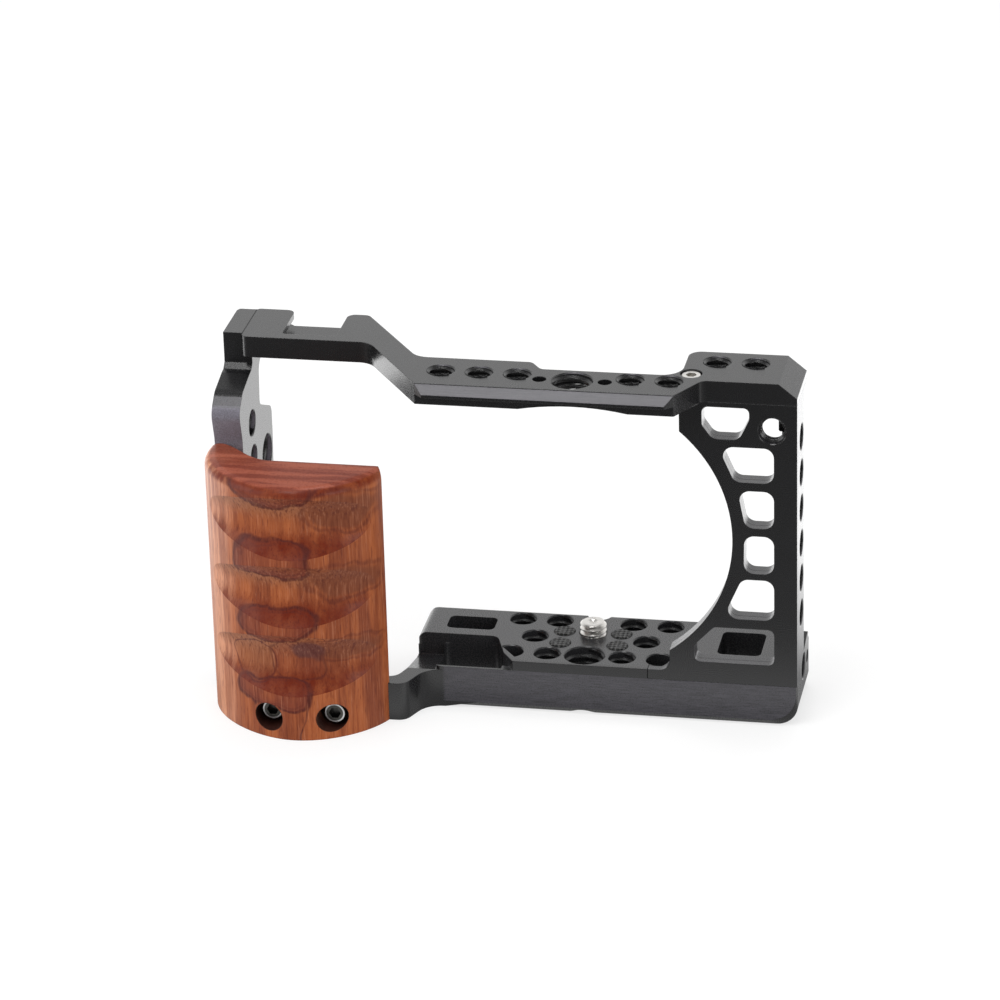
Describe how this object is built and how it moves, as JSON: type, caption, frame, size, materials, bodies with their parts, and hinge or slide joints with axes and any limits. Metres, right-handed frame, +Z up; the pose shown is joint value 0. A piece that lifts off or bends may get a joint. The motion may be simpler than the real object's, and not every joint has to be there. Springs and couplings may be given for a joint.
{
  "type": "camera cage",
  "caption": "Machined camera cage with a perforated base plate, windowed side panel, holed top bar with cold shoe, and a wooden side grip.",
  "frame": {"origin": "on the axis of the camera screw, at the seat face of the base plate", "axes": "+Z up; +X towards the side panel, away from the wooden grip; -Y the way the lens looks"},
  "size_m": [0.14, 0.0541, 0.0874],
  "materials": {
    "anodised_aluminium": "dark grey bead-blasted anodised",
    "wood": "oiled reddish hardwood, satin",
    "stainless_steel": "bright stainless",
    "spring_steel": "ground",
    "black_steel": "black oxide",
    "rubber": "matte textured",
    "nylon": "natural"
  },
  "bodies": {
    "cage": {"anti_slip_pad_1": "rubber", "anti_slip_pad_2": "rubber", "anti_slip_pad_3": "rubber", "anti_slip_pad_4": "rubber", "base_panel_screw_1": "black_steel", "base_panel_screw_2": "black_steel", "base_panel_screw_3": "black_steel", "base_plate": "anodised_aluminium", "bottom_leg_screw_1": "black_steel", "bottom_leg_screw_2": "black_steel", "camera_screw_retaining_ring": "spring_steel", "grip_dowel": "spring_steel", "grip_screw_1": "stainless_steel", "grip_screw_2": "stainless_steel", "grip_side_plate": "anodised_aluminium", "panel_dowel_1": "spring_steel", "panel_dowel_2": "spring_steel", "side_panel": "anodised_aluminium", "top_bar": "anodised_aluminium", "top_leg_screw_1": "black_steel", "top_leg_screw_2": "black_steel", "top_screw": "stainless_steel", "wooden_grip": "wood"},
    "screw_lift": {"camera_screw_washer": "nylon"},
    "screw_turn": {"camera_screw": "stainless_steel"}
  },
  "joints": [
    {"name": "camera_screw_lift", "type": "slide", "parent": "cage", "child": "screw_lift", "axis": [0, 0, 1], "range_m": [0, 0.0022]},
    {"name": "camera_screw_turn", "type": "hinge", "parent": "screw_lift", "child": "screw_turn", "pos_m": [0, 0, 0], "axis": [0, 0, 1], "continuous": true}
  ]
}
